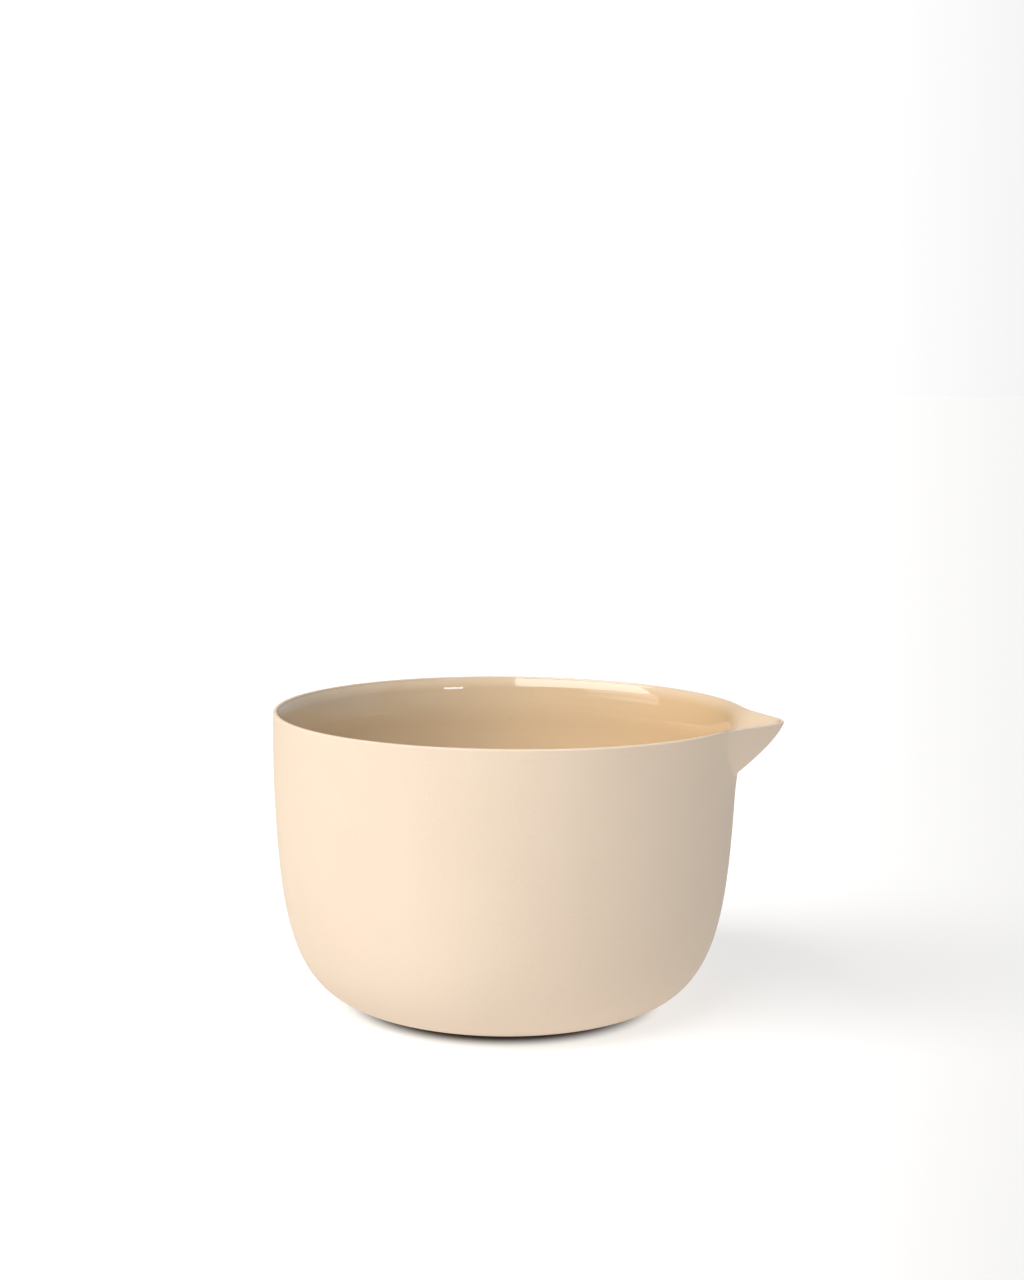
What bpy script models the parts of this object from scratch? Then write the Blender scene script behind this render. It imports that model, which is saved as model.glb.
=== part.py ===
"""Mixing bowl with a pouring spout.

A thin cast stoneware shell stands on a low foot.  A V-shaped notch in its rim takes a
folded spout, luted in edge to edge.  A thin glaze lines the inside of the bowl and the
channel of the spout; the outside, the rim and the foot stay bare.

Metres, +Z up.  The origin is on the bowl's axis, on the face that it stands on, and the
spout points along +X.
"""

import math

import bmesh
import bpy
import numpy as np

# Bowl
HEIGHT = 0.142
RIM_RADIUS = 0.110
BELLY_RADIUS = 0.1087
BELLY_HEIGHT = 0.087
BASE_RADIUS = 0.056
BASE_HANDLE = 0.042
BELLY_HANDLE = 0.053
RIM_TURN_IN = 0.0022
RIM_WALL = 0.0021
RIM_ROUNDING = 0.0009
LIP = 0.0009
LIP_HEIGHT = 0.005
TAPER = 0.0032
TAPER_HEIGHT = 0.020
BODY_WALL = RIM_WALL + LIP + TAPER

# Foot
FOOT_RADIUS = 0.052
FOOT_HEIGHT = 0.002
FOOT_ROUNDING = 0.0004

# Glaze, and the clearance between touching pieces
GLAZE = 0.0004
GAP = 0.0003
GLAZE_LINE_DROP = 0.0005

# Rim drawn out towards the spout
LEAN = 0.0062
LEAN_HALF_ANGLE = math.radians(80)
LEAN_START_HEIGHT = 0.100
LEAN_POWER_ACROSS = 1.5
LEAN_POWER_UP = 2

# Spout: its keel in the plane of the spout, from the tip down into the bowl
SPOUT_REACH = 0.1326
KEEL = ((SPOUT_REACH, HEIGHT), (0.1294, 0.1315), (0.1035, 0.1102))
SIDE_ANGLE = math.radians(38)
NOSE_RADIUS_AT_TIP = 0.015
NOSE_RADIUS_AT_ROOT = 0.025
KEEL_SLANT_GAIN = 0.4
FILLET = 0.002

# Notch in the rim that the spout fills
NOTCH_BOTTOM = 0.113
NOTCH_HALF_ANGLE_BOTTOM = math.radians(4)
NOTCH_HALF_ANGLE_TOP = math.radians(22)
NOTCH_POWER = 0.6
NOTCH_MARGIN = 0.0015

# Fineness of the solids
TURN_STEPS = 64
BASE_CURVE_STEPS = 8
WALL_CURVE_STEPS = 2
ROUNDING_STEPS = 2
SPOUT_ROWS = 11
SPOUT_COLUMNS = 16
CUTTER_COLUMNS = 4
ROW_SPACING_POWER = 1.3
CURVE_SAMPLES = 200
SMOOTH_BELOW = math.radians(40)

STONEWARE = {"colour": (0.72, 0.60, 0.47, 1.0), "roughness": 0.7}
GLAZED = {"colour": (0.61, 0.42, 0.25, 1.0), "roughness": 0.12}
BARE_FOOT = {"colour": (0.68, 0.56, 0.44, 1.0), "roughness": 0.85}


# ---------------------------------------------------------------- scene

def clear_scene():
    for obj in list(bpy.data.objects):
        bpy.data.objects.remove(obj, do_unlink=True)


def new_collection(name):
    collection = bpy.data.collections.new(name)
    bpy.context.scene.collection.children.link(collection)
    return collection


def new_material(name, look):
    material = bpy.data.materials.new(name)
    material.use_nodes = True
    shader = material.node_tree.nodes["Principled BSDF"]
    shader.inputs["Base Color"].default_value = look["colour"]
    shader.inputs["Roughness"].default_value = look["roughness"]
    shader.inputs["Metallic"].default_value = 0.0
    return material


# ---------------------------------------------------------------- curves

def bezier(points, t):
    """Point on the Bezier curve with these control points."""
    points = [np.array(point) for point in points]
    while len(points) > 1:
        points = [(1 - t) * a + t * b for a, b in zip(points, points[1:])]
    return points[0]


def bezier_run(points, steps):
    """Points along a Bezier curve, without its first one."""
    return [bezier(points, step / steps) for step in range(1, steps + 1)]


def outer_profile(base_steps=BASE_CURVE_STEPS, wall_steps=WALL_CURVE_STEPS):
    """Outer (radius, height) points of the bowl, from the axis up to the rim's rounding."""
    base = np.array((BASE_RADIUS, FOOT_HEIGHT))
    belly = np.array((BELLY_RADIUS, BELLY_HEIGHT))
    rim = np.array((RIM_RADIUS, HEIGHT - RIM_ROUNDING))
    upward = rim + (RIM_TURN_IN, 0.0) - belly
    upward /= np.linalg.norm(upward)
    curve = (base, base + (BASE_HANDLE, 0.0), belly - upward * BELLY_HANDLE, belly)
    wall = (belly, belly + upward * np.linalg.norm(rim - belly) / 2, rim)
    points = [np.array((0.0, FOOT_HEIGHT)), base]
    points += bezier_run(curve, base_steps) + bezier_run(wall, wall_steps)
    heights = [point[1] for point in points]
    radii = [point[0] for point in points]
    for depth in (LIP_HEIGHT / 2, LIP_HEIGHT, TAPER_HEIGHT / 2, TAPER_HEIGHT):
        level = rim[1] - depth
        points.append(np.array((np.interp(level, heights, radii), level)))
    return sorted(points, key=lambda point: point[1])


def wall_at(height):
    """Thickness of the clay: thin at the rim, a soft lip inside, then a taper to full."""
    depth = max(HEIGHT - RIM_ROUNDING - height, 0.0)
    lip = min(depth / LIP_HEIGHT, 1.0)
    taper = min(depth / TAPER_HEIGHT, 1.0)
    return RIM_WALL + LIP * lip * (2 - lip) + TAPER * math.sin(math.pi / 2 * taper)


def inset_profile(points, extra=0.0):
    """The profile moved inwards by the clay's thickness and this much more."""
    moved = []
    for index, point in enumerate(points):
        before = points[max(index - 1, 0)]
        after = points[min(index + 1, len(points) - 1)]
        along = (after - before) / np.linalg.norm(after - before)
        inward = np.array((-along[1], along[0]))
        if index == 0:
            inward = np.array((0.0, 1.0))
        moved.append(point + inward * (wall_at(point[1]) + extra))
    return moved


def rounding():
    """(inset, drop) pairs that round an edge off, from the side of it to its top."""
    angles = [math.pi / 2 * step / ROUNDING_STEPS for step in range(ROUNDING_STEPS + 1)]
    return [
        (RIM_ROUNDING * (1 - math.cos(angle)), RIM_ROUNDING * (1 - math.sin(angle)))
        for angle in angles
    ]


# ---------------------------------------------------------------- bowl and spout surfaces

FINE_PROFILE = outer_profile(CURVE_SAMPLES, CURVE_SAMPLES) + [np.array((RIM_RADIUS, HEIGHT))]
KEEL_TIMES = np.linspace(0.0, 1.0, CURVE_SAMPLES)
KEEL_POINTS = np.array([bezier(KEEL, t) for t in KEEL_TIMES])


def lean(angle, height):
    """How far the wall is drawn out at this angle from the spout and this height."""
    if abs(angle) >= LEAN_HALF_ANGLE or height <= LEAN_START_HEIGHT:
        return 0.0
    across = math.cos(angle / LEAN_HALF_ANGLE * math.pi / 2)
    up = (height - LEAN_START_HEIGHT) / (HEIGHT - LEAN_START_HEIGHT)
    return LEAN * across ** LEAN_POWER_ACROSS * up ** LEAN_POWER_UP


def bowl_radius(angle, height, inset):
    """Radius of the leaning wall, this far inside its outer face."""
    heights = [point[1] for point in FINE_PROFILE]
    radii = [point[0] for point in FINE_PROFILE]
    return float(np.interp(height, heights, radii)) + lean(angle, height) - inset


def beak_radius(angle, height, inset):
    """Radius of the spout's folded sheet: two flat sides joined by a round nose."""
    reach = float(np.interp(height, KEEL_POINTS[::-1, 1], KEEL_POINTS[::-1, 0]))
    time = float(np.interp(height, KEEL_POINTS[::-1, 1], KEEL_TIMES[::-1]))
    nose = NOSE_RADIUS_AT_TIP + (NOSE_RADIUS_AT_ROOT - NOSE_RADIUS_AT_TIP) * time
    centre = reach - nose
    nose -= inset * (1 + KEEL_SLANT_GAIN * time)
    turn = math.atan2(nose * math.sin(SIDE_ANGLE), centre + nose * math.cos(SIDE_ANGLE))
    if abs(angle) < turn:
        across = centre * math.sin(angle)
        return centre * math.cos(angle) + math.sqrt(nose ** 2 - across ** 2)
    side = centre * math.cos(SIDE_ANGLE) + nose
    return side / math.cos(SIDE_ANGLE - abs(angle))


def spout_radius(angle, height, inset):
    """The farther of wall and beak, with a soft fillet between them."""
    wall = bowl_radius(angle, height, inset)
    beak = beak_radius(angle, height, inset)
    blend = max(FILLET - abs(wall - beak), 0.0) / FILLET
    return max(wall, beak) + blend ** 2 * FILLET / 4


def notch_half_angle(height):
    """Half the angle that the notch spans at this height."""
    share = (height - NOTCH_BOTTOM) / (HEIGHT - NOTCH_BOTTOM)
    opening = NOTCH_HALF_ANGLE_TOP - NOTCH_HALF_ANGLE_BOTTOM
    return NOTCH_HALF_ANGLE_BOTTOM + opening * max(share, 0.0) ** NOTCH_POWER


# ---------------------------------------------------------------- makers

def add_object(name, mesh, collection, material, parent):
    obj = bpy.data.objects.new(name, mesh)
    collection.objects.link(obj)
    obj.parent = parent
    if material:
        mesh.materials.clear()
        mesh.materials.append(material)
    return obj


def smooth(mesh):
    mesh.shade_smooth()
    mesh.set_sharp_from_angle(angle=SMOOTH_BELOW)


def turned_mesh(name, profile):
    """Screw a closed-at-the-axis profile round Z, then draw it out towards the spout."""
    line = bpy.data.meshes.new(name)
    points = [(float(radius), 0.0, float(height)) for radius, height in profile]
    line.from_pydata(points, [(i, i + 1) for i in range(len(points) - 1)], [])
    holder = bpy.data.objects.new(name + "_profile", line)
    bpy.context.scene.collection.objects.link(holder)
    screw = holder.modifiers.new("turn", "SCREW")
    screw.axis = "Z"
    screw.angle = 2 * math.pi
    screw.steps = TURN_STEPS
    screw.render_steps = TURN_STEPS
    screw.use_merge_vertices = True
    screw.merge_threshold = 0.00001
    evaluated = holder.evaluated_get(bpy.context.evaluated_depsgraph_get())
    mesh = bpy.data.meshes.new_from_object(evaluated)
    bpy.data.objects.remove(holder, do_unlink=True)
    bpy.data.meshes.remove(line)
    mesh.name = name
    for vertex in mesh.vertices:
        radius = math.hypot(vertex.co.x, vertex.co.y)
        if radius > 0:
            drawn = radius + lean(math.atan2(vertex.co.y, vertex.co.x), vertex.co.z)
            vertex.co.x *= drawn / radius
            vertex.co.y *= drawn / radius
    return mesh


def lofted_mesh(name, rows, columns, radius_outside, radius_inside, half_angle):
    """A curved slab between two surfaces, from row to row and across the notch.

    Each row is (height, inset): the inset pulls both of its surfaces into the slab.
    """
    mesh = bpy.data.meshes.new(name)
    work = bmesh.new()
    sheets = []
    for radius_of, side in ((radius_outside, -1), (radius_inside, 1)):
        sheet = []
        for height, inset in rows:
            line = []
            for column in range(columns + 1):
                angle = half_angle(height) * (2 * column / columns - 1)
                radius = radius_of(angle, height) + side * inset
                point = (radius * math.cos(angle), radius * math.sin(angle), height)
                line.append(work.verts.new(point))
            sheet.append(line)
        sheets.append(sheet)
    outside, inside = sheets
    for low in range(len(rows) - 1):
        for left in range(columns):
            for sheet in (outside, inside):
                corners = (sheet[low][left], sheet[low][left + 1],
                           sheet[low + 1][left + 1], sheet[low + 1][left])
                work.faces.new(corners if sheet is outside else corners[::-1])
        for left, order in ((0, 1), (columns, -1)):
            corners = (inside[low][left], outside[low][left],
                       outside[low + 1][left], inside[low + 1][left])
            work.faces.new(corners[::order])
    for left in range(columns):
        for row, order in ((0, 1), (len(rows) - 1, -1)):
            corners = (inside[row][left], inside[row][left + 1],
                       outside[row][left + 1], outside[row][left])
            work.faces.new(corners[::order])
    bmesh.ops.triangulate(work, faces=work.faces)
    work.to_mesh(mesh)
    work.free()
    return mesh


def spout_rows(top):
    """Rows up the notch, closer together near its bottom, with the last one at the top."""
    rise = HEIGHT - RIM_ROUNDING - NOTCH_BOTTOM
    share = [(row / SPOUT_ROWS) ** ROW_SPACING_POWER for row in range(SPOUT_ROWS + 1)]
    heights = [NOTCH_BOTTOM + rise * part for part in share]
    heights[-1] = top
    return [(height, 0.0) for height in heights]


def notch_cutter(collection):
    """A wedge that opens the notch, one gap wider than the spout all round."""
    rows = spout_rows(HEIGHT - RIM_ROUNDING)
    rows[0] = (NOTCH_BOTTOM - GAP, 0.0)
    rows += [(HEIGHT, 0.0), (HEIGHT + RIM_WALL, 0.0)]
    mesh = lofted_mesh(
        "notch_cutter", rows, CUTTER_COLUMNS,
        lambda angle, height: RIM_RADIUS + LEAN + NOTCH_MARGIN,
        lambda angle, height: RIM_RADIUS - BODY_WALL - GAP - GLAZE - NOTCH_MARGIN,
        lambda height: notch_half_angle(min(height, HEIGHT)) + GAP / RIM_RADIUS,
    )
    cutter = add_object("notch_cutter", mesh, collection, None, None)
    cutter.hide_render = True
    cutter.display_type = "WIRE"
    return cutter


def cut(obj, cutter):
    boolean = obj.modifiers.new("notch", "BOOLEAN")
    boolean.operation = "DIFFERENCE"
    boolean.solver = "EXACT"
    boolean.object = cutter


# ---------------------------------------------------------------- pieces

def make_bowl_body(collection, material, parent, cutter):
    """The cast shell: up the inside, over the rounded rim and down the outside."""
    outside = outer_profile()
    inside = inset_profile(outside)
    rim = [(RIM_RADIUS - RIM_WALL + inset, HEIGHT - drop) for inset, drop in rounding()[1:]]
    rim += [(RIM_RADIUS - inset, HEIGHT - drop) for inset, drop in rounding()[:0:-1]]
    mesh = turned_mesh("bowl_body", inside + rim + outside[::-1])
    smooth(mesh)
    cut(add_object("bowl_body", mesh, collection, material, parent), cutter)


def make_bowl_glaze(collection, material, parent, cutter):
    """The glaze inside the bowl, which stops just under the rim's rounding."""
    outside = outer_profile()
    outside[-1] = outside[-1] - (0.0, GLAZE_LINE_DROP)
    back = inset_profile(outside, GAP)
    face = inset_profile(outside, GAP + GLAZE)
    mesh = turned_mesh("bowl_glaze", face + back[::-1])
    smooth(mesh)
    cut(add_object("bowl_glaze", mesh, collection, material, parent), cutter)


def make_pouring_spout(collection, material, parent):
    """The folded spout, with the same rounded edge as the bowl's rim."""
    rows = spout_rows(HEIGHT - RIM_ROUNDING)
    rows += [(HEIGHT - drop, inset) for inset, drop in rounding()[1:]]
    mesh = lofted_mesh(
        "pouring_spout", rows, SPOUT_COLUMNS,
        lambda angle, height: spout_radius(angle, height, 0.0),
        lambda angle, height: spout_radius(angle, height, wall_at(height)),
        notch_half_angle,
    )
    smooth(mesh)
    add_object("pouring_spout", mesh, collection, material, parent)


def make_spout_glaze(collection, material, parent):
    """The glaze in the spout's channel, level with the bowl's glaze line."""
    mesh = lofted_mesh(
        "spout_glaze", spout_rows(HEIGHT - RIM_ROUNDING - GLAZE_LINE_DROP), SPOUT_COLUMNS,
        lambda angle, height: spout_radius(angle, height, wall_at(height) + GAP),
        lambda angle, height: spout_radius(angle, height, wall_at(height) + GAP + GLAZE),
        notch_half_angle,
    )
    smooth(mesh)
    add_object("spout_glaze", mesh, collection, material, parent)


def make_foot(collection, material, parent):
    """The flat, unglazed foot that the bowl stands on."""
    thickness = FOOT_HEIGHT - GAP
    bpy.ops.mesh.primitive_cylinder_add(
        vertices=TURN_STEPS, radius=FOOT_RADIUS, depth=thickness,
        location=(0.0, 0.0, thickness / 2))
    foot = bpy.context.object
    foot.name = "foot"
    for other in list(foot.users_collection):
        other.objects.unlink(foot)
    collection.objects.link(foot)
    foot.parent = parent
    foot.data.name = "foot"
    foot.data.materials.append(material)
    smooth(foot.data)
    bevel = foot.modifiers.new("rounding", "BEVEL")
    bevel.width = FOOT_ROUNDING
    bevel.segments = 2
    bevel.limit_method = "ANGLE"


def main():
    clear_scene()
    parts = new_collection("mixing_bowl")
    cutters = new_collection("cutters")
    centre = bpy.data.objects.new("mixing_bowl_axis", None)
    parts.objects.link(centre)
    stoneware = new_material("matte_stoneware", STONEWARE)
    glaze = new_material("clear_glaze", GLAZED)
    bare_foot = new_material("bare_foot", BARE_FOOT)
    cutter = notch_cutter(cutters)
    make_bowl_body(parts, stoneware, centre, cutter)
    make_pouring_spout(parts, stoneware, centre)
    make_foot(parts, bare_foot, centre)
    make_bowl_glaze(parts, glaze, centre, cutter)
    make_spout_glaze(parts, glaze, centre)


main()
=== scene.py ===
"""Looks of the mixing bowl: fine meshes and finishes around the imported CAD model."""

import math

import bpy
import numpy as np
from mathutils import Matrix, Quaternion, Vector


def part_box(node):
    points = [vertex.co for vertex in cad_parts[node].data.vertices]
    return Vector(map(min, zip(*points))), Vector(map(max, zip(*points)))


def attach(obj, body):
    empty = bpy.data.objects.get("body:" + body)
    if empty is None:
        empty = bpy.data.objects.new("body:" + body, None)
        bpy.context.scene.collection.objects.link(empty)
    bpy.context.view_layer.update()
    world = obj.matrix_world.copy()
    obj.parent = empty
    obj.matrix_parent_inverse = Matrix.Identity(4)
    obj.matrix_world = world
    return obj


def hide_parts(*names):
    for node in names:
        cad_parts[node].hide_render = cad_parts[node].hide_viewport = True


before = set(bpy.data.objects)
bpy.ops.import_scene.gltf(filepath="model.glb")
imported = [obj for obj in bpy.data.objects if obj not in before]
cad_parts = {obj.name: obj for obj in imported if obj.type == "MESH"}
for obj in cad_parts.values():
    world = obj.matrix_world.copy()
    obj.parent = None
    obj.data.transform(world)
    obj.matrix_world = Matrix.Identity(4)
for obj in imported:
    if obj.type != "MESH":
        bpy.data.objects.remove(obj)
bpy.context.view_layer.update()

# ---------------------------------------------------------------- sizes, from the CAD frame

BODY_LOW, BODY_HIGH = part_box("bowl_body")
SPOUT_LOW, SPOUT_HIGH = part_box("pouring_spout")
_, FOOT_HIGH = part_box("foot")

HEIGHT = BODY_HIGH.z
BASE_LEVEL = BODY_LOW.z
OUTER_RADIUS = BODY_HIGH.y
NOTCH_BOTTOM = SPOUT_LOW.z
SPOUT_TIP = SPOUT_HIGH.x
FOOT_RADIUS = FOOT_HIGH.x

# The turned outline, as shares of the rim's radius and of the height. The rim is widest
# where it starts to be drawn out towards the spout, by this much over the turned rim.
WIDENING = 0.00009
RIM_RADIUS = OUTER_RADIUS - WIDENING
BELLY_RADIUS = 0.988 * RIM_RADIUS
BELLY_HEIGHT = 0.613 * HEIGHT
BASE_RADIUS = 0.509 * RIM_RADIUS
BASE_HANDLE = 0.382 * RIM_RADIUS
BELLY_HANDLE = 0.482 * RIM_RADIUS
RIM_TURN_IN = 0.02 * RIM_RADIUS

# Clay: its wall at the rim, what the soft lip and the taper add, and over which depths
RIM_WALL = 0.0021
RIM_ROUNDING = 0.0009
LIP = 0.0009
LIP_HEIGHT = 0.005
TAPER = 0.0032
TAPER_HEIGHT = 0.020

# Glaze: its gap to the clay, its thickness and that of its edge, the depth over which it
# thins out, and how far it runs over the rounding of the rim
GLAZE_BACK = 0.00004
GLAZE = 0.0004
GLAZE_EDGE = 0.00006
GLAZE_TAPER = 0.020
GLAZE_TURN = math.radians(60)

# Rim drawn out towards the spout
LEAN = 0.0062
LEAN_HALF_ANGLE = math.radians(80)
LEAN_START = 0.704 * HEIGHT
LEAN_POWER_ACROSS = 1.5
LEAN_POWER_UP = 2

# Spout: its keel as the control points of a curve, from the tip down into the bowl. The
# curve starts past the tip, because the rounding of the rim takes the tip back.
TIP_ALLOWANCE = 0.0002
KEEL = ((SPOUT_TIP + TIP_ALLOWANCE, HEIGHT), (0.1294, 0.1315), (0.1035, 0.1102))
SIDE_ANGLE = math.radians(38)
NOSE_AT_TIP = 0.015
NOSE_AT_ROOT = 0.025
KEEL_SLANT_GAIN = 0.4
OUTER_FILLET = 0.0012
INNER_FILLET = 0.005

# Notch between the bowl and the spout
NOTCH_ANGLE_BOTTOM = math.radians(4)
NOTCH_ANGLE_TOP = math.radians(22)
NOTCH_POWER = 0.6

# Foot: its lower edge, and the cove where it meets the base
FOOT_ROUNDING = 0.0005
FOOT_COVE = 0.0006

# The camera: in front of the bowl, turned from the -Y side towards the spout
CAMERA_TURN = 13.0
CAMERA_PITCH = 7.27
CAMERA_ROLL = 0.46
CAMERA_SIDE = 0.0029
CAMERA_DISTANCE = 1.034
CAMERA_HEIGHT = 0.307
CAMERA_LENS = 61.875

# The light: even light from all round, and windows in the sky, each with its azimuth,
# elevation, width, height and softness in degrees, its power and its colour
AMBIENT = 0.01
WARM = (1.0, 0.99, 0.97)
COOL = (0.90, 1.0, 1.10)
WINDOWS = (
    (-90.0 - 45.0 + CAMERA_TURN, 46.5, 78.0, 37.0, 2.0, 6.3, WARM),
    (-90.0 - 66.0 + CAMERA_TURN, 22.5, 42.0, 12.0, 2.0, 2.2, WARM),
    (-90.0 + 29.5 + CAMERA_TURN, 22.0, 11.0, 7.0, 1.0, 12.0, COOL),
    (-90.0 + 75.0 + CAMERA_TURN, 25.0, 80.0, 30.0, 12.0, 0.2, COOL),
    (-90.0 + 125.0 + CAMERA_TURN, 22.0, 100.0, 44.0, 10.0, 0.6, COOL),
    (0.0, 90.0, 400.0, 60.0, 20.0, 0.9, WARM),
)

# The floor: its colour and glow, and the distances from the axis over which the glow starts;
# closer in, the glow is cut for a painted contact shadow under the bowl
FLOOR_SIZE = 40.0
FLOOR_DROP = 0.00005
FLOOR_COLOUR = 0.45
FLOOR_GLOW = 0.64
FLOOR_TINT = (1.015, 1.0, 0.985)
CONTACT_SHADOW_FROM = (1.11 * BASE_RADIUS, 1.38 * BASE_RADIUS)

# The backdrop's brightness, and how much it and the floor lose towards the right, a painted
# falloff of the light, over these angles from the middle of the view and these depths from the
# camera
BACKDROP_LEVEL = 1.17
FALLOFF = 0.27
FALLOFF_ANGLES = (0.04, 0.26)
FALLOFF_DEPTHS = (0.25, 0.70)

# Colours
CLAY = (0.690, 0.562, 0.440)
CLAY_DRIFT = (0.668, 0.540, 0.420)
CLAY_GRAIN = (0.725, 0.597, 0.474)
CLAY_SPECK = (0.40, 0.29, 0.20)
GROUND_CLAY = (0.560, 0.452, 0.350)
GROUND_WEAR = (0.510, 0.405, 0.308)
GROUND_GRAIN = (0.61, 0.50, 0.395)
# Glaze colours away from and towards the spout: the warmer spout side is painted warm bounce
# light
GLAZE_AWAY = (0.648, 0.520, 0.362)
GLAZE_PAINTED_BOUNCE = (0.632, 0.438, 0.250)
GLAZE_DRIFT = (0.600, 0.450, 0.290)
GLAZE_RINGS = (0.580, 0.430, 0.270)
GLAZE_SPECK = (0.36, 0.25, 0.15)
THIN_GLAZE = (0.700, 0.560, 0.420)

# Where the glaze's colour shifts along X, painted warm bounce light on the spout side, and
# where the glaze thins out in the channel and at the rim, with the share of the thin glaze's
# colour that it reaches
PAINTED_BOUNCE_FROM = (-0.10, 0.10)
THIN_CHANNEL = (0.90 * RIM_RADIUS, RIM_RADIUS)
THIN_RIM = (HEIGHT - 1.2 * LIP_HEIGHT, HEIGHT)
THIN_SHARE = 0.8

# Fineness of the meshes
SPOUT_COLUMNS = 96
WALL_COLUMNS = 240
BASE_ROWS = 56
LOW_WALL_ROWS = 16
SPOUT_ROWS = 96
ROUNDING_ROWS = 8
CENTRE_ROWS = 24
FOOT_COLUMNS = 256
FOOT_ROWS = 12
FOOT_ARC_STEPS = 6
CURVE_SAMPLES = 400
COLUMN_CROWDING = 0.5
ROW_SPACING_POWER = 1.15
DISC_SPACING_POWER = 0.9
SHARP_ANGLE = math.radians(35)


# ---------------------------------------------------------------- outline and surfaces

def bezier(points, t):
    """Points on the Bezier curve with these control points, for an array of t."""
    t = np.asarray(t, float)[:, None]
    points = [np.array(point, float)[None, :] for point in points]
    while len(points) > 1:
        points = [(1 - t) * a + t * b for a, b in zip(points, points[1:])]
    return points[0]


def outline():
    """Outer (radius, height) points of the turned wall, from the base up to the rim."""
    base = np.array((BASE_RADIUS, BASE_LEVEL))
    belly = np.array((BELLY_RADIUS, BELLY_HEIGHT))
    rim = np.array((RIM_RADIUS, HEIGHT - RIM_ROUNDING))
    upward = rim + (RIM_TURN_IN, 0.0) - belly
    upward /= np.linalg.norm(upward)
    curve = (base, base + (BASE_HANDLE, 0.0), belly - upward * BELLY_HANDLE, belly)
    wall = (belly, belly + upward * np.linalg.norm(rim - belly) / 2, rim)
    fine = np.linspace(0.0, 1.0, CURVE_SAMPLES)
    points = np.vstack([bezier(curve, fine), bezier(wall, fine)[1:]])
    return np.vstack([points, [(RIM_RADIUS, HEIGHT)]])


OUTLINE = outline()
BASE_CURVE, WALL_CURVE = OUTLINE[:CURVE_SAMPLES], OUTLINE[CURVE_SAMPLES - 1:]
KEEL_TIMES = np.linspace(0.0, 1.0, CURVE_SAMPLES)
KEEL_POINTS = bezier(KEEL, KEEL_TIMES)


def wall_at(height):
    """Thickness of the clay: thin at the rim, a soft lip inside, then a taper to full."""
    depth = HEIGHT - RIM_ROUNDING - height
    lip = np.clip(depth / LIP_HEIGHT, 0, 1)
    taper = np.clip(depth / TAPER_HEIGHT, 0, 1)
    return RIM_WALL + LIP * lip * (2 - lip) + TAPER * np.sin(math.pi / 2 * taper)


def glaze_at(height):
    """Thickness of the glaze, which runs out thin towards the rim."""
    share = np.clip((HEIGHT - RIM_ROUNDING - height) / GLAZE_TAPER, 0, 1)
    return GLAZE_EDGE + (GLAZE - GLAZE_EDGE) * share * share * (3 - 2 * share)


def lean(angle, height):
    """How far the wall is drawn out at this angle from the spout and this height."""
    across = np.clip(np.cos(np.clip(angle / LEAN_HALF_ANGLE, -1, 1) * math.pi / 2), 0, 1)
    up = np.clip((height - LEAN_START) / (HEIGHT - LEAN_START), 0, None)
    return LEAN * across ** LEAN_POWER_ACROSS * up ** LEAN_POWER_UP


def beak_radius(angle, height, inset):
    """Radius of the spout's folded sheet: two flat sides joined by a round nose."""
    reach = np.interp(height, KEEL_POINTS[::-1, 1], KEEL_POINTS[::-1, 0])
    time = np.interp(height, KEEL_POINTS[::-1, 1], KEEL_TIMES[::-1])
    nose = NOSE_AT_TIP + (NOSE_AT_ROOT - NOSE_AT_TIP) * time
    centre = reach - nose
    nose = nose - inset * (1 + KEEL_SLANT_GAIN * time)
    turn = np.arctan2(nose * math.sin(SIDE_ANGLE), centre + nose * math.cos(SIDE_ANGLE))
    across = np.clip(centre * np.sin(angle), -nose, nose)
    round_nose = centre * np.cos(angle) + np.sqrt(nose ** 2 - across ** 2)
    side = (centre * math.cos(SIDE_ANGLE) + nose) / np.cos(SIDE_ANGLE - np.abs(angle))
    near = np.abs(angle) < SIDE_ANGLE
    return np.where(np.abs(angle) < turn, round_nose, np.where(near, side, 0.0))


def surface_radius(angle, height, wall_radius, inset, fillet):
    """The farther of wall and beak, with a soft fillet between them."""
    wall = wall_radius + lean(angle, height)
    if height < KEEL[-1][1]:
        return wall
    beak = beak_radius(angle, height, inset)
    blend = np.clip(fillet - np.abs(wall - beak), 0, None) / fillet
    return np.maximum(wall, beak) + blend ** 2 * fillet / 4


def notch_half_angle(height):
    """Half the angle of the spout's columns: the notch's own, then evenly spread below it."""
    share = np.clip((height - NOTCH_BOTTOM) / (HEIGHT - NOTCH_BOTTOM), 0, 1)
    notch = (NOTCH_ANGLE_TOP - NOTCH_ANGLE_BOTTOM) * share ** NOTCH_POWER
    below = np.clip((NOTCH_BOTTOM - height) / (NOTCH_BOTTOM - BASE_LEVEL), 0, 1)
    even = math.pi * SPOUT_COLUMNS / (SPOUT_COLUMNS + WALL_COLUMNS) - NOTCH_ANGLE_BOTTOM
    return NOTCH_ANGLE_BOTTOM + notch + even * below ** 2 * (3 - 2 * below)


# ---------------------------------------------------------------- grids of points

def column_angles(height):
    """Angles round the bowl: across the spout first, then round the rest of the wall."""
    half = float(notch_half_angle(height))
    across = np.linspace(-1.0, 1.0, SPOUT_COLUMNS, endpoint=False) * half
    share = np.linspace(0.0, 1.0, WALL_COLUMNS, endpoint=False)
    crowding = COLUMN_CROWDING * (1 - half / math.pi)
    eased = share - crowding * np.sin(2 * math.pi * share) / (2 * math.pi)
    rest = half + eased * (2 * math.pi - 2 * half)
    angles = np.concatenate([across, rest])
    return (angles + math.pi) % (2 * math.pi) - math.pi


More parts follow.
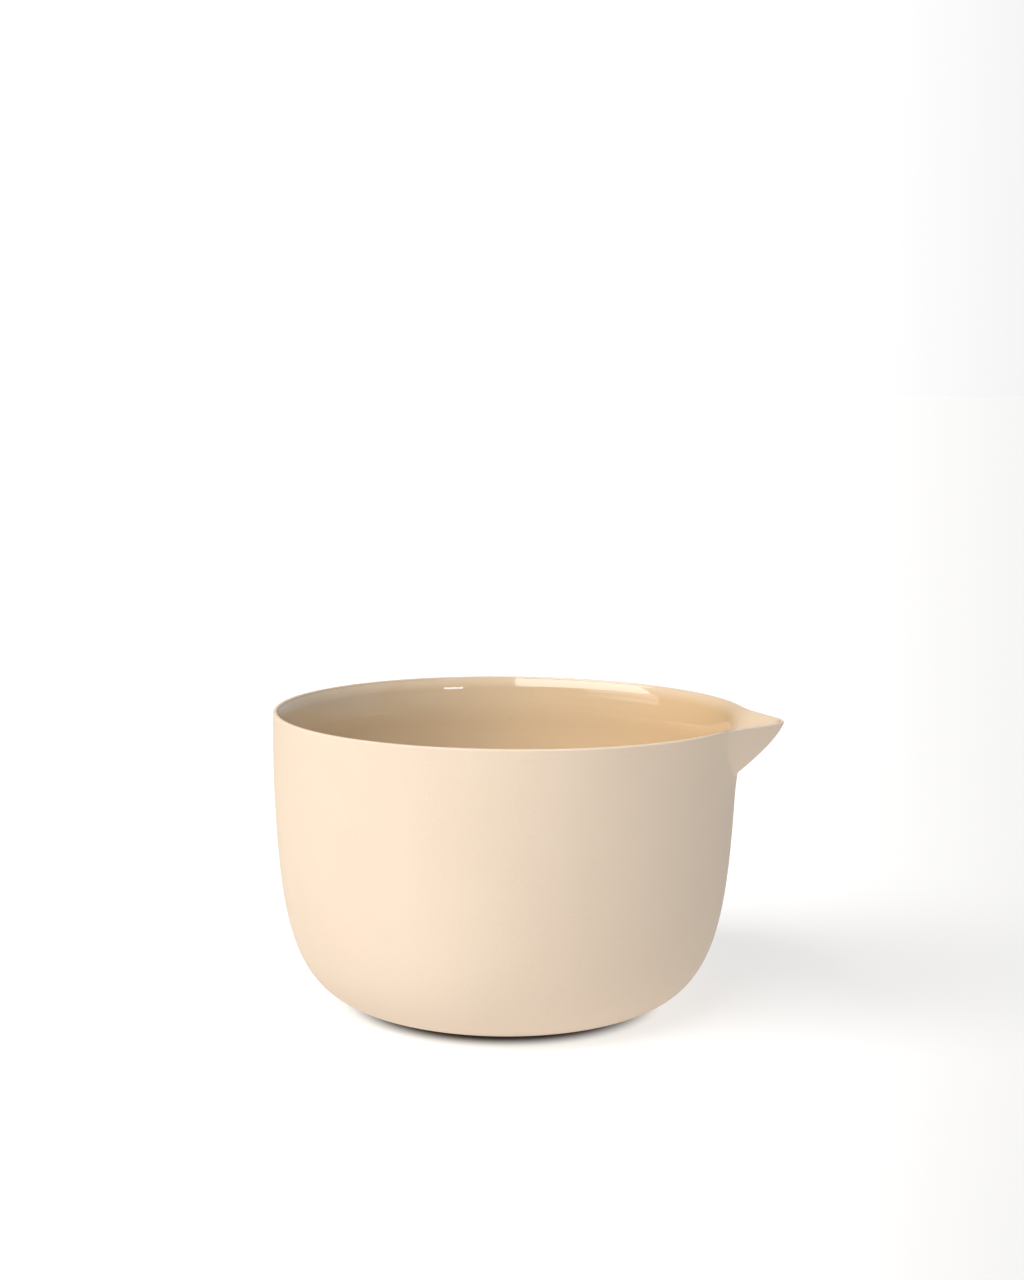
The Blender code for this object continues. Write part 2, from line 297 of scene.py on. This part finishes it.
def base_points():
    """(radius, height) at even steps along the curve of the base."""
    steps = np.linalg.norm(np.diff(BASE_CURVE, axis=0), axis=1)
    along = np.concatenate([[0], np.cumsum(steps)])
    want = np.linspace(0, along[-1], BASE_ROWS + 1)
    return np.stack([np.interp(want, along, BASE_CURVE[:, k]) for k in (0, 1)], 1)


def outer_points():
    """(radius, height) of each outer row from the base up to the start of the rounding.

    The curve of the base comes first, then the low wall, then the height of the spout.
    """
    low = np.linspace(BELLY_HEIGHT, NOTCH_BOTTOM, LOW_WALL_ROWS + 1)[1:]
    share = (np.arange(1, SPOUT_ROWS + 1) / SPOUT_ROWS) ** ROW_SPACING_POWER
    high = NOTCH_BOTTOM + (HEIGHT - RIM_ROUNDING - NOTCH_BOTTOM) * share
    upper = np.concatenate([low, high])
    radii = np.interp(upper, WALL_CURVE[:, 1], WALL_CURVE[:, 0])
    return np.vstack([base_points(), np.stack([radii, upper], 1)])


def inset_points(points, extra):
    """The outline moved inwards by the clay's thickness and this much more."""
    along = np.gradient(points, axis=0)
    along /= np.linalg.norm(along, axis=1)[:, None]
    inward = np.stack([-along[:, 1], along[:, 0]], 1)
    inward[0] = (0.0, 1.0)
    return points + inward * (wall_at(points[:, 1]) + extra)[:, None]


def grid_row(radius, height, inset, fillet, edge=0.0, column_height=None):
    """One ring of points. edge pulls the ring towards (+) or away from the axis (-)."""
    angle = column_angles(height if column_height is None else column_height)
    out = surface_radius(angle, height, radius, inset, fillet) - edge
    return np.stack([out * np.cos(angle), out * np.sin(angle), np.full_like(angle, height)], 1)


def disc_rows(radius, height):
    """Rings from near the axis out to this radius, on a flat face."""
    share = (np.arange(1, CENTRE_ROWS + 1) / (CENTRE_ROWS + 1)) ** DISC_SPACING_POWER
    return [grid_row(radius * part, height, 0.0, OUTER_FILLET) for part in share]


def rounding_row(angle, inset, fillet, side):
    """A ring over the rounding of the rim: its outer side (1) or its inner side (-1)."""
    return grid_row(RIM_RADIUS - inset, HEIGHT - RIM_ROUNDING * (1 - math.sin(angle)),
                    inset, fillet, edge=side * RIM_ROUNDING * (1 - math.cos(angle)),
                    column_height=HEIGHT - RIM_ROUNDING)


def clay_rows():
    """Rings over the clay: under the base, up the outside, over the rim, down the inside."""
    outside = outer_points()
    inside = inset_points(outside, 0.0)
    rows = disc_rows(outside[0, 0], outside[0, 1])
    rows += [grid_row(r, z, 0.0, OUTER_FILLET) for r, z in outside]
    angles = [math.pi / 2 * step / ROUNDING_ROWS for step in range(1, ROUNDING_ROWS + 1)]
    rows += [rounding_row(angle, 0.0, OUTER_FILLET, 1) for angle in angles]
    rows += [rounding_row(angle, RIM_WALL, INNER_FILLET, -1) for angle in angles[::-1]]
    rows += [grid_row(r, z, wall_at(z), INNER_FILLET) for r, z in inside[::-1]]
    rows += disc_rows(inside[0, 0], inside[0, 1])[::-1]
    return rows


def lip_row(turn, thickness):
    """A ring over the inner rounding of the rim, this far round it and off the clay."""
    radius = RIM_ROUNDING + GLAZE_BACK + thickness
    return grid_row(RIM_RADIUS - RIM_WALL, HEIGHT - RIM_ROUNDING + radius * math.sin(turn),
                    RIM_WALL, INNER_FILLET, edge=radius * math.cos(turn) - RIM_ROUNDING,
                    column_height=HEIGHT - RIM_ROUNDING)


def glaze_rows():
    """Rings over the glaze: up its back, round its thin edge on the rim, down its face."""
    outside = outer_points()
    back = inset_points(outside, GLAZE_BACK)
    face = inset_points(outside, GLAZE_BACK + glaze_at(outside[:, 1]))
    rows = disc_rows(back[0, 0], back[0, 1])
    rows += [grid_row(r, z, wall_at(z) + GLAZE_BACK, INNER_FILLET) for r, z in back]
    turns = np.linspace(0.0, GLAZE_TURN, ROUNDING_ROWS + 1)[1:]
    rows += [lip_row(turn, 0.0) for turn in turns]
    rows += [lip_row(turn, GLAZE_EDGE) for turn in turns[::-1]]
    rows += [grid_row(r, z, wall_at(z) + GLAZE_BACK + glaze_at(z), INNER_FILLET)
             for r, z in face[::-1]]
    rows += disc_rows(face[0, 0], face[0, 1])[::-1]
    return rows


# ---------------------------------------------------------------- meshes

def ring_normals(rows):
    """Normals of the whole closed surface at every grid point, for seamless joints."""
    grid = np.array(rows)
    across = np.roll(grid, -1, axis=1) - np.roll(grid, 1, axis=1)
    along = np.empty_like(grid)
    along[1:-1] = grid[2:] - grid[:-2]
    along[0] = grid[1] - grid[0]
    along[-1] = grid[-1] - grid[-2]
    normals = np.cross(across, along)
    length = np.linalg.norm(normals, axis=2, keepdims=True)
    return normals / np.maximum(length, 1e-12)


def placed(name, mesh):
    """An object in the scene that shows this mesh."""
    made = bpy.data.objects.new(name, mesh)
    bpy.context.scene.collection.objects.link(made)
    return made


def mesh_piece(name, points, faces, loop_normals):
    """An object from used points only, with a normal given for every corner."""
    used = sorted({index for face in faces for index in face})
    place = {index: k for k, index in enumerate(used)}
    mesh = bpy.data.meshes.new(name)
    mesh.from_pydata([points[i] for i in used], [],
                     [tuple(place[i] for i in face) for face in faces])
    mesh.update()
    mesh.shade_smooth()
    mesh.normals_split_custom_set(loop_normals)
    return placed(name, mesh)


def flat_normal(points, face):
    """The normal of a triangle or a quad, from its corners."""
    a, b, c = (np.array(points[face[k]]) for k in (0, 1, 2))
    d = np.array(points[face[-1]])
    normal = np.cross(c - a, d - b) if len(face) == 4 else np.cross(b - a, c - a)
    return tuple(normal / max(np.linalg.norm(normal), 1e-15))


def bowl_and_spout(rows, bowl_name, spout_name, first, last):
    """Two closed pieces that meet along the notch: the bowl, and the spout in it.

    first and last are the outer and inner rows at the bottom of the notch.
    """
    count = len(rows[0])
    normals = ring_normals(rows).reshape(-1, 3)
    points = [tuple(point) for point in np.array(rows).reshape(-1, 3)]
    low_pole = len(points)
    points.append((0.0, 0.0, float(rows[0][0][2])))
    high_pole = len(points)
    points.append((0.0, 0.0, float(rows[-1][0][2])))

    def at(row, column):
        return row * count + column % count

    bowl, spout = [], []
    for row in range(len(rows) - 1):
        for column in range(count):
            cell = (at(row, column), at(row, column + 1),
                    at(row + 1, column + 1), at(row + 1, column))
            in_notch = first <= row < last and column < SPOUT_COLUMNS
            (spout if in_notch else bowl).append(cell)
    end = len(rows) - 1
    poles = []
    for column in range(count):
        poles.append((low_pole, at(0, column + 1), at(0, column)))
        poles.append((high_pole, at(end, column), at(end, column + 1)))
    joint = []
    for step in range((last - first) // 2):
        for column, turn in ((0, 1), (SPOUT_COLUMNS, -1)):
            quad = (at(first + step, column), at(first + step + 1, column),
                    at(last - step - 1, column), at(last - step, column))
            joint.append(quad[::turn])
    for column in range(SPOUT_COLUMNS):
        joint.append((at(first, column), at(last, column),
                      at(last, column + 1), at(first, column + 1)))
    made = []
    for name, skin, ends, seam in (
            (bowl_name, bowl, poles, [face[::-1] for face in joint]),
            (spout_name, spout, [], joint)):
        loops = [tuple(normals[i]) for face in skin for i in face]
        for face in ends + seam:
            loops += [flat_normal(points, face)] * len(face)
        made.append(mesh_piece(name, points, skin + ends + seam, loops))
    return made


def notch_rows(rows):
    """The first and last row at the bottom of the notch."""
    outer = CENTRE_ROWS + BASE_ROWS + LOW_WALL_ROWS
    return outer, len(rows) - 1 - outer


def turned_piece(name, profile, columns):
    """A solid turned from a profile that runs from the axis under it to the axis on top."""
    angles = np.arange(columns) * 2 * math.pi / columns
    rows = [np.stack([r * np.cos(angles), r * np.sin(angles), np.full(columns, z)], 1)
            for r, z in profile[1:-1]]
    points = [tuple(p) for p in np.array(rows).reshape(-1, 3)]
    points += [(0.0, 0.0, profile[0][1]), (0.0, 0.0, profile[-1][1])]
    low, high, last = len(points) - 2, len(points) - 1, (len(rows) - 1) * columns
    faces = []
    for column in range(columns):
        after = (column + 1) % columns
        faces.append((low, after, column))
        faces.append((high, last + column, last + after))
        for row in range(len(rows) - 1):
            start = row * columns
            faces.append((start + column, start + after,
                          start + columns + after, start + columns + column))
    mesh = bpy.data.meshes.new(name)
    mesh.from_pydata(points, [], faces)
    mesh.update()
    mesh.shade_smooth()
    mesh.set_sharp_from_angle(angle=SHARP_ANGLE)
    return placed(name, mesh)


def arc(centre, radius, start, stop):
    """(radius, height) points along an arc, angles in degrees."""
    angles = np.radians(np.linspace(start, stop, FOOT_ARC_STEPS + 1))
    return [(centre[0] + radius * math.cos(a), centre[1] + radius * math.sin(a))
            for a in angles]


def make_foot():
    """The low foot: a soft lower edge, and a small cove where it meets the base."""
    edge = (FOOT_RADIUS - FOOT_ROUNDING, FOOT_ROUNDING)
    cove = (FOOT_RADIUS + FOOT_COVE, BASE_LEVEL - FOOT_COVE)
    profile = [(0.0, 0.0)]
    profile += [(FOOT_RADIUS * k / FOOT_ROWS, 0.0) for k in range(1, FOOT_ROWS)]
    profile += arc(edge, FOOT_ROUNDING, -90, 0)
    profile += arc(cove, FOOT_COVE, 180, 90)
    profile += [(0.0, BASE_LEVEL)]
    return turned_piece("foot_pad", profile, FOOT_COLUMNS)


# ---------------------------------------------------------------- finishes

def add(tree, kind, **settings):
    """A shader node with these settings. A setting named in_3 sets the default of input 3."""
    made = tree.nodes.new("ShaderNode" + kind)
    for name, value in settings.items():
        if name.startswith("in_"):
            made.inputs[int(name[3:])].default_value = value
        else:
            setattr(made, name, value)
    return made


def noise(tree, where, scale, detail=2.0, roughness=0.5, stretch=None):
    """Noise with features of about 1/scale metres; stretch squeezes it along each axis."""
    if stretch:
        mapping = add(tree, "Mapping")
        mapping.inputs["Scale"].default_value = stretch
        tree.links.new(where, mapping.inputs["Vector"])
        where = mapping.outputs["Vector"]
    made = add(tree, "TexNoise")
    made.inputs["Scale"].default_value = scale
    made.inputs["Detail"].default_value = detail
    made.inputs["Roughness"].default_value = roughness
    tree.links.new(where, made.inputs["Vector"])
    return made.outputs["Fac"]


def remap(tree, value, low, high, to_low, to_high):
    """value eased from the range low to high into the range to_low to to_high."""
    made = add(tree, "MapRange", interpolation_type="SMOOTHSTEP")
    for name, number in (("From Min", low), ("From Max", high),
                         ("To Min", to_low), ("To Max", to_high)):
        made.inputs[name].default_value = number
    tree.links.new(value, made.inputs["Value"])
    return made.outputs["Result"]


def tint(tree, base, other, amount):
    """base mixed with other by amount; each may be a colour or a socket."""
    made = add(tree, "Mix", data_type="RGBA")
    for socket, value in ((made.inputs["Factor"], amount),
                          (made.inputs[6], base), (made.inputs[7], other)):
        if isinstance(value, bpy.types.NodeSocket):
            tree.links.new(value, socket)
        elif isinstance(value, (int, float)):
            socket.default_value = value
        else:
            socket.default_value = (*value, 1.0)
    return made.outputs[2]


def bump(tree, height, distance, under=None):
    """Relief of this depth in metres on top of the relief under it."""
    made = add(tree, "Bump")
    made.inputs["Strength"].default_value = 1.0
    made.inputs["Distance"].default_value = distance
    tree.links.new(height, made.inputs["Height"])
    if under is not None:
        tree.links.new(under, made.inputs["Normal"])
    return made.outputs["Normal"]


def new_material(name):
    """A material with its node tree, its shader and the position on the object."""
    material = bpy.data.materials.new(name)
    material.use_nodes = True
    tree = material.node_tree
    shader = tree.nodes["Principled BSDF"]
    where = add(tree, "TexCoord").outputs["Object"]
    return material, tree, shader, where


def make_stoneware():
    """Bare fired clay: fine grain, a breath of colour drift, faint turning lines."""
    material, tree, shader, where = new_material("matte_stoneware")
    drift = remap(tree, noise(tree, where, 14.0, 3.0), 0.35, 0.65, 0.0, 1.0)
    grain = noise(tree, where, 1600.0, 3.0, 0.6)
    lines = noise(tree, where, 60.0, 2.0, 0.5, stretch=(0.25, 0.25, 12.0))
    specks = remap(tree, noise(tree, where, 700.0, 1.0), 0.74, 0.82, 0.0, 0.18)
    colour = tint(tree, CLAY, CLAY_DRIFT, drift)
    colour = tint(tree, colour, CLAY_GRAIN, remap(tree, grain, 0.4, 0.7, 0.0, 0.5))
    colour = tint(tree, colour, CLAY_SPECK, specks)
    tree.links.new(colour, shader.inputs["Base Color"])
    tree.links.new(remap(tree, grain, 0.3, 0.7, 0.72, 0.88), shader.inputs["Roughness"])
    shader.inputs["Specular IOR Level"].default_value = 0.3
    relief = bump(tree, lines, 0.00003)
    relief = bump(tree, grain, 0.00006, under=relief)
    tree.links.new(relief, shader.inputs["Normal"])
    return material


def make_foot_clay():
    """The ground foot: the same clay, drier, with rings left by the grinding disc."""
    material, tree, shader, where = new_material("bare_foot")
    grain = noise(tree, where, 1300.0, 3.0, 0.6)
    wear = remap(tree, noise(tree, where, 55.0, 4.0, 0.6), 0.45, 0.7, 0.0, 0.6)
    rings = add(tree, "TexWave", wave_type="RINGS", rings_direction="Z")
    rings.inputs["Scale"].default_value = 260.0
    rings.inputs["Distortion"].default_value = 1.2
    rings.inputs["Detail"].default_value = 2.0
    tree.links.new(where, rings.inputs["Vector"])
    colour = tint(tree, GROUND_CLAY, GROUND_WEAR, wear)
    colour = tint(tree, colour, GROUND_GRAIN, remap(tree, grain, 0.45, 0.75, 0.0, 0.5))
    tree.links.new(colour, shader.inputs["Base Color"])
    tree.links.new(remap(tree, grain, 0.3, 0.7, 0.78, 0.92), shader.inputs["Roughness"])
    relief = bump(tree, rings.outputs["Fac"], 0.00005)
    relief = bump(tree, grain, 0.00008, under=relief)
    tree.links.new(relief, shader.inputs["Normal"])
    return material


def make_glaze():
    """Clear gloss glaze: faint rings and dimples, painted warm bounce light towards the spout,
    paler at the rim and in the channel, where it is thin.
    """
    material, tree, shader, where = new_material("clear_glaze")
    drift = remap(tree, noise(tree, where, 18.0, 3.0), 0.35, 0.65, 0.0, 1.0)
    rings = noise(tree, where, 45.0, 2.0, 0.5, stretch=(0.12, 0.12, 8.0))
    peel = noise(tree, where, 260.0, 2.0, 0.5)
    specks = remap(tree, noise(tree, where, 600.0, 1.0), 0.74, 0.82, 0.0, 0.2)
    split = add(tree, "SeparateXYZ")
    tree.links.new(where, split.inputs["Vector"])
    # painted warm bounce light: the glaze turns warmer towards the spout, where the light
    # falls
    painted_bounce = remap(tree, split.outputs["X"], *PAINTED_BOUNCE_FROM, 0.0, 1.0)
    colour = tint(tree, GLAZE_AWAY, GLAZE_PAINTED_BOUNCE, painted_bounce)
    colour = tint(tree, colour, GLAZE_DRIFT, remap(tree, drift, 0.0, 1.0, 0.0, 0.25))
    colour = tint(tree, colour, GLAZE_RINGS, remap(tree, rings, 0.4, 0.7, 0.0, 0.15))
    channel = remap(tree, split.outputs["X"], *THIN_CHANNEL, 0.0, THIN_SHARE)
    colour = tint(tree, colour, THIN_GLAZE, channel)
    rim = remap(tree, split.outputs["Z"], *THIN_RIM, 0.0, THIN_SHARE)
    colour = tint(tree, colour, THIN_GLAZE, rim)
    colour = tint(tree, colour, GLAZE_SPECK, specks)
    tree.links.new(colour, shader.inputs["Base Color"])
    tree.links.new(remap(tree, peel, 0.3, 0.7, 0.03, 0.06), shader.inputs["Roughness"])
    shader.inputs["IOR"].default_value = 1.52
    relief = bump(tree, rings, 0.00007)
    relief = bump(tree, peel, 0.00002, under=relief)
    tree.links.new(relief, shader.inputs["Normal"])
    return material


# ---------------------------------------------------------------- stage

def falloff(tree, where, ahead):
    """0 in the middle and at the left, rising to 1 at the right, as the camera stands: the
    mask of a painted falloff of the light.

    ahead is how far the origin of where lies in front of the camera.
    """
    turn = add(tree, "VectorRotate", rotation_type="Z_AXIS")
    turn.inputs["Angle"].default_value = -math.radians(CAMERA_TURN)
    tree.links.new(where, turn.inputs["Vector"])
    split = add(tree, "SeparateXYZ")
    tree.links.new(turn.outputs["Vector"], split.inputs["Vector"])
    depth = add(tree, "Math", operation="ADD")
    tree.links.new(split.outputs["Y"], depth.inputs[0])
    depth.inputs[1].default_value = ahead
    sideways = add(tree, "Math", operation="ARCTAN2")
    tree.links.new(split.outputs["X"], sideways.inputs[0])
    tree.links.new(depth.outputs[0], sideways.inputs[1])
    both = add(tree, "Math", operation="MULTIPLY")
    tree.links.new(remap(tree, sideways.outputs[0], *FALLOFF_ANGLES, 0.0, 1.0), both.inputs[0])
    tree.links.new(remap(tree, depth.outputs[0], *FALLOFF_DEPTHS, 0.0, 1.0), both.inputs[1])
    return both.outputs[0]


def make_floor():
    """A plain pale floor at the level of the foot, which glows a little: the glow is cut close
    to the foot, a painted contact shadow, and dims towards the right, a painted falloff of the
    light.
    """
    mesh = bpy.data.meshes.new("floor")
    half = FLOOR_SIZE / 2
    mesh.from_pydata([(-half, -half, 0), (half, -half, 0), (half, half, 0), (-half, half, 0)],
                     [], [(0, 1, 2, 3)])
    floor = placed("floor", mesh)
    floor.location.z = -FLOOR_DROP
    material, tree, shader, where = new_material("pale_floor")
    shader.inputs["Base Color"].default_value = (FLOOR_COLOUR, FLOOR_COLOUR, FLOOR_COLOUR, 1.0)
    shader.inputs["Emission Color"].default_value = (*FLOOR_TINT, 1.0)
    # painted falloff of the light: the floor's glow dims towards the right
    glow = add(tree, "Math", operation="MULTIPLY_ADD", in_1=-FALLOFF, in_2=FLOOR_GLOW)
    tree.links.new(falloff(tree, where, CAMERA_DISTANCE), glow.inputs[0])
    reach = add(tree, "VectorMath", operation="LENGTH")
    tree.links.new(where, reach.inputs[0])
    # painted contact shadow: the floor's glow is cut close to the foot
    outside_contact_shadow = remap(tree, reach.outputs["Value"], *CONTACT_SHADOW_FROM, 0.0, 1.0)
    lit = add(tree, "Math", operation="MULTIPLY")
    tree.links.new(glow.outputs[0], lit.inputs[0])
    tree.links.new(outside_contact_shadow, lit.inputs[1])
    tree.links.new(lit.outputs[0], shader.inputs["Emission Strength"])
    shader.inputs["Roughness"].default_value = 0.9
    shader.inputs["Specular IOR Level"].default_value = 0.1
    mesh.materials.append(material)


def direction_window(tree, where, azimuth, elevation, wide, high, soft):
    """1 inside a window of the sky with soft edges, 0 outside; angles in degrees."""
    turn = add(tree, "VectorRotate", rotation_type="Z_AXIS")
    turn.inputs["Angle"].default_value = -math.radians(azimuth)
    tree.links.new(where, turn.inputs["Vector"])
    split = add(tree, "SeparateXYZ")
    tree.links.new(turn.outputs["Vector"], split.inputs["Vector"])
    sideways = add(tree, "Math", operation="ARCTAN2")
    tree.links.new(split.outputs["Y"], sideways.inputs[0])
    tree.links.new(split.outputs["X"], sideways.inputs[1])
    upward = add(tree, "Math", operation="ARCSINE")
    tree.links.new(split.outputs["Z"], upward.inputs[0])
    result = None
    for angle, centre, span in ((sideways, 0.0, wide), (upward, elevation, high)):
        offset = add(tree, "Math", operation="SUBTRACT")
        tree.links.new(angle.outputs[0], offset.inputs[0])
        offset.inputs[1].default_value = math.radians(centre)
        size = add(tree, "Math", operation="ABSOLUTE")
        tree.links.new(offset.outputs[0], size.inputs[0])
        inside = remap(tree, size.outputs[0], math.radians(span / 2 - soft / 2),
                       math.radians(span / 2 + soft / 2), 1.0, 0.0)
        if result is None:
            result = inside
        else:
            both = add(tree, "Math", operation="MULTIPLY")
            tree.links.new(result, both.inputs[0])
            tree.links.new(inside, both.inputs[1])
            result = both.outputs[0]
    return result


def make_world():
    """The windows light the bowl over soft ambient light. The camera sees a plain backdrop."""
    world = bpy.data.worlds.new("studio")
    world.use_nodes = True
    tree = world.node_tree
    tree.nodes.clear()
    where = add(tree, "TexCoord").outputs["Generated"]
    light = add(tree, "Background", in_0=(1.0, 1.0, 1.0, 1.0), in_1=AMBIENT).outputs[0]
    for azimuth, elevation, wide, high, soft, power, colour in WINDOWS:
        window = direction_window(tree, where, azimuth, elevation, wide, high, soft)
        strength = add(tree, "Math", operation="MULTIPLY", in_1=power)
        tree.links.new(window, strength.inputs[0])
        pane = add(tree, "Background", in_0=(*colour, 1.0))
        tree.links.new(strength.outputs[0], pane.inputs["Strength"])
        both = add(tree, "AddShader")
        tree.links.new(light, both.inputs[0])
        tree.links.new(pane.outputs[0], both.inputs[1])
        light = both.outputs[0]
    seen = add(tree, "Background", in_0=(1.0, 1.0, 1.0, 1.0))
    # painted falloff of the light: the backdrop seen by the camera dims towards the right
    bright = add(tree, "Math", operation="MULTIPLY_ADD", in_1=-FALLOFF, in_2=BACKDROP_LEVEL)
    tree.links.new(falloff(tree, where, 0.0), bright.inputs[0])
    tree.links.new(bright.outputs[0], seen.inputs["Strength"])
    mix = add(tree, "MixShader")
    tree.links.new(add(tree, "LightPath").outputs["Is Camera Ray"], mix.inputs[0])
    tree.links.new(light, mix.inputs[1])
    tree.links.new(seen.outputs[0], mix.inputs[2])
    output = add(tree, "OutputWorld")
    tree.links.new(mix.outputs[0], output.inputs["Surface"])
    bpy.context.scene.world = world


def make_camera():
    """The camera stands in front of the bowl, turned so that the spout points right."""
    turn = Matrix.Rotation(math.radians(CAMERA_TURN), 3, "Z")
    pitch = math.radians(CAMERA_PITCH)
    forward = turn @ Vector((0.0, math.cos(pitch), -math.sin(pitch)))
    data = bpy.data.cameras.new("camera")
    data.lens = CAMERA_LENS
    data.sensor_width = 36.0
    camera = bpy.data.objects.new("camera", data)
    camera.location = turn @ Vector((CAMERA_SIDE, -CAMERA_DISTANCE, CAMERA_HEIGHT))
    camera.rotation_mode = "QUATERNION"
    roll = Quaternion((0.0, 0.0, 1.0), math.radians(CAMERA_ROLL))
    camera.rotation_quaternion = forward.to_track_quat("-Z", "Y") @ roll
    bpy.context.scene.collection.objects.link(camera)
    bpy.context.scene.camera = camera


# ---------------------------------------------------------------- the bowl

def dress(piece, node, material):
    """Give a piece its material, tie it to the body, and hide the CAD node it stands for."""
    piece.data.materials.append(material)
    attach(piece, "root")
    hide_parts(node)


def main():
    stoneware, foot_clay, glaze = make_stoneware(), make_foot_clay(), make_glaze()
    rows = clay_rows()
    shell, beak = bowl_and_spout(rows, "bowl_shell", "spout_beak", *notch_rows(rows))
    rows = glaze_rows()
    lining, channel = bowl_and_spout(rows, "bowl_lining", "spout_lining", *notch_rows(rows))
    dress(shell, "bowl_body", stoneware)
    dress(beak, "pouring_spout", stoneware)
    dress(make_foot(), "foot", foot_clay)
    dress(lining, "bowl_glaze", glaze)
    dress(channel, "spout_glaze", glaze)
    make_floor()
    make_world()
    make_camera()
    bpy.context.scene.view_settings.view_transform = "Standard"


main()
